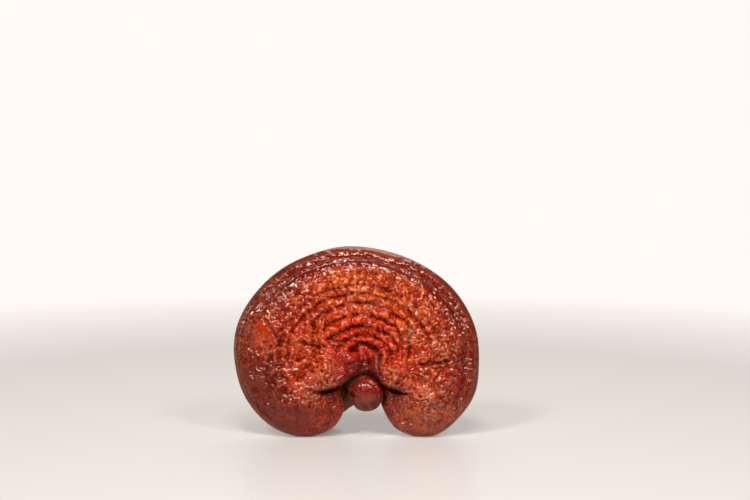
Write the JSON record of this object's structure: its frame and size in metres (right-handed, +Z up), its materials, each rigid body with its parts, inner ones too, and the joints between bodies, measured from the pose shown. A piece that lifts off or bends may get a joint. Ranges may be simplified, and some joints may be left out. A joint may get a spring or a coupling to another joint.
{
  "type": "reishi mushroom",
  "caption": "Dried lacquered bracket mushroom: a kidney-shaped cap with growth ridges around a notch, leaning on its short crooked stem.",
  "frame": {"origin": "centre of the footprint's bounding box, on the floor", "axes": "+X to the right across the cap's width, +Z up, and the lacquered upper side of the cap looks towards -Y and a little upwards"},
  "size_m": [0.1304, 0.0444, 0.0985],
  "materials": {
    "cap_crust": "glossy natural lacquer, orange-red to maroon in rings",
    "stem_crust": "dark maroon lacquered bark, matt brown where it is cut"
  },
  "bodies": {
    "root": {"cap": "cap_crust", "stem": "stem_crust"}
  },
  "joints": []
}
